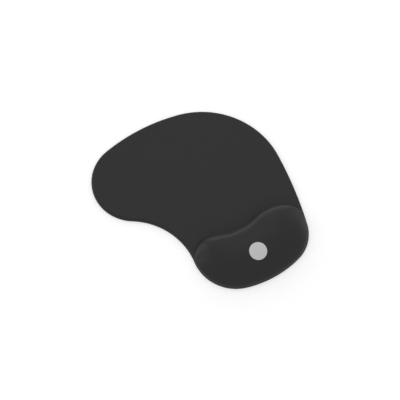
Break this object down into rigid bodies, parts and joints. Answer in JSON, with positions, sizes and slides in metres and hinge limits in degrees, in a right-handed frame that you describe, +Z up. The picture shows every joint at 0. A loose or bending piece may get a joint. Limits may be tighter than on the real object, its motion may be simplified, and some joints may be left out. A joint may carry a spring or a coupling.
{
  "type": "mouse pad with gel wrist rest",
  "caption": "Comma-shaped fabric mouse pad whose user end swells into a soft gel wrist rest with a plain round print, on a thin non-slip rubber base.",
  "frame": {"origin": "middle of the pad's plan box, on the desk face of the rubber base", "axes": "+X to the right along the wrist rest, +Y away from the user, +Z up"},
  "size_m": [0.211, 0.23, 0.0204],
  "materials": {
    "knit": "matte",
    "print": "matte",
    "base_rubber": "matte",
    "foam": "matte",
    "film": "gloss",
    "gel": "gloss"
  },
  "bodies": {
    "root": {"knit_cover": "knit", "print_patch": "print", "rubber_base": "base_rubber", "foam_mat": "foam", "gel_core": "gel", "gel_film_upper": "film", "gel_film_lower": "film"}
  },
  "joints": []
}
